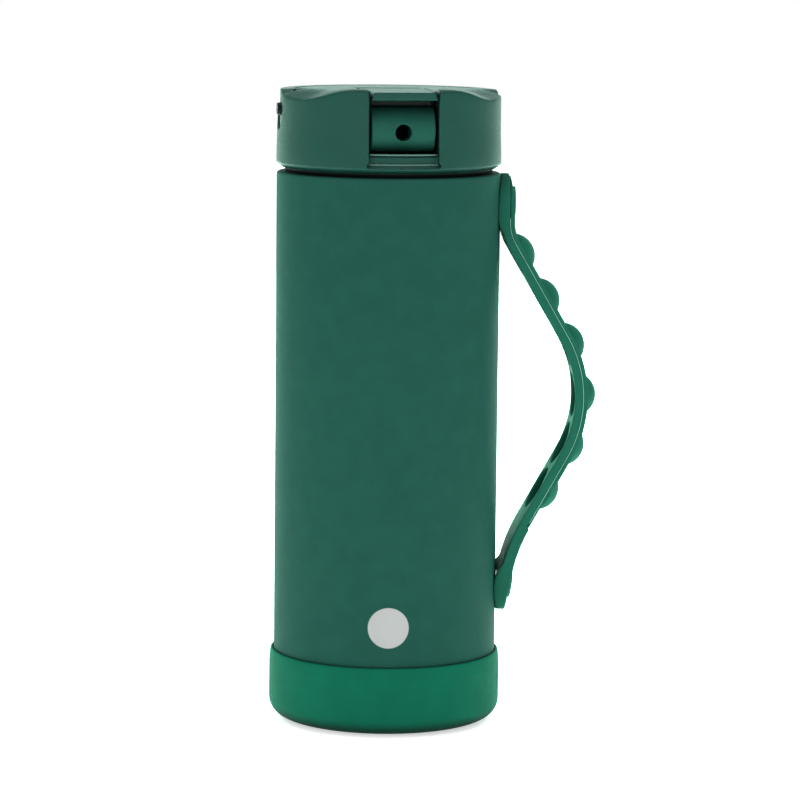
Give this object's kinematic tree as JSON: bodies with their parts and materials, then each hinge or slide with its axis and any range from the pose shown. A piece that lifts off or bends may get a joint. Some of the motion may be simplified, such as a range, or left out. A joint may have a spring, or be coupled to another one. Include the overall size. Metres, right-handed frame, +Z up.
{
  "type": "vacuum flask",
  "caption": "Insulated steel flask with a screw lid, flip-up sip spout, folding carry loop, straw, silicone boot and a bowed side handle with push-through bubbles.",
  "frame": {"origin": "centre of the boot's flat underside, on the flask's axis", "axes": "+Z up along the flask's axis, +X towards the side handle, -Y towards the front with the plain steel mark"},
  "size_m": [0.1053, 0.075, 0.204],
  "materials": {
    "powder_coat": "fine matt powder coat",
    "steel": "satin",
    "copper": "thin copper foil",
    "silicone": "matt silicone",
    "seal": "matt silicone",
    "lid_plastic": "fine matt texture",
    "white_plastic": "smooth",
    "straw_plastic": "milky, smooth",
    "dark_steel": "black oxide"
  },
  "bodies": {
    "flask": {"outer_shell": "powder_coat", "base_plate": "steel", "inner_liner": "steel", "copper_wrap": "copper", "getter": "steel", "vacuum_plug": "steel", "silicone_boot": "silicone", "strap_bosses": "steel", "handle_strap": "silicone", "bubble_panel": "silicone", "strap_pads": "silicone", "strap_screws": "lid_plastic"},
    "gasket": {"lid_gasket": "seal"},
    "ring_seal": {"plug_o_ring": "seal"},
    "lid": {"lid_cover": "lid_plastic", "lid_plug": "lid_plastic", "valve_seat": "white_plastic", "vent_valve": "white_plastic", "straw_sleeve": "white_plastic", "straw": "straw_plastic", "spout_pins": "steel", "loop_pins": "dark_steel"},
    "spout": {"flip_spout": "lid_plastic", "spout_mouthpiece": "silicone"},
    "loop": {"carry_loop": "lid_plastic"},
    "pop_1": {"bubble_1": "silicone"},
    "pop_2": {"bubble_2": "silicone"},
    "pop_3": {"bubble_3": "silicone"},
    "pop_4": {"bubble_4": "silicone"},
    "pop_5": {"bubble_5": "silicone"},
    "pop_6": {"bubble_6": "silicone"}
  },
  "joints": [
    {"name": "lid_lift", "type": "slide", "parent": "flask", "child": "gasket", "axis": [0, 0, 1], "range_m": [0, 0.165]},
    {"name": "lid_rise", "type": "slide", "parent": "gasket", "child": "ring_seal", "axis": [0, 0, 1], "range_m": [0, 0.006]},
    {"name": "lid_turn", "type": "hinge", "parent": "ring_seal", "child": "lid", "pos_m": [0, 0, 0.18], "axis": [0, 0, 1], "range_deg": [0, 540]},
    {"name": "spout_flip", "type": "hinge", "parent": "lid", "child": "spout", "pos_m": [0.00042, -0.00398, 0.1914], "axis": [-0.9945, -0.1045, 0], "range_deg": [0, 90]},
    {"name": "loop_swing", "type": "hinge", "parent": "lid", "child": "loop", "pos_m": [0, 0, 0.1972], "axis": [0.9945, 0.1045, 0], "range_deg": [0, 90]},
    {"name": "bubble_pop_1", "type": "slide", "parent": "flask", "child": "pop_1", "axis": [-0.866, 0, -0.5], "range_m": [0, 0.004]},
    {"name": "bubble_pop_2", "type": "slide", "parent": "flask", "child": "pop_2", "axis": [-0.866, 0, -0.5], "range_m": [0, 0.006]},
    {"name": "bubble_pop_3", "type": "slide", "parent": "flask", "child": "pop_3", "axis": [-0.8966, 0, -0.4429], "range_m": [0, 0.006]},
    {"name": "bubble_pop_4", "type": "slide", "parent": "flask", "child": "pop_4", "axis": [-0.9999, 0, -0.011], "range_m": [0, 0.006]},
    {"name": "bubble_pop_5", "type": "slide", "parent": "flask", "child": "pop_5", "axis": [-0.9061, 0, 0.423], "range_m": [0, 0.006]},
    {"name": "bubble_pop_6", "type": "slide", "parent": "flask", "child": "pop_6", "axis": [-0.8729, 0, 0.4879], "range_m": [0, 0.006]}
  ],
  "couplings": [
    {"joint": "lid_rise", "follows": "lid_turn", "m_per_rad": 0.00063662}
  ]
}
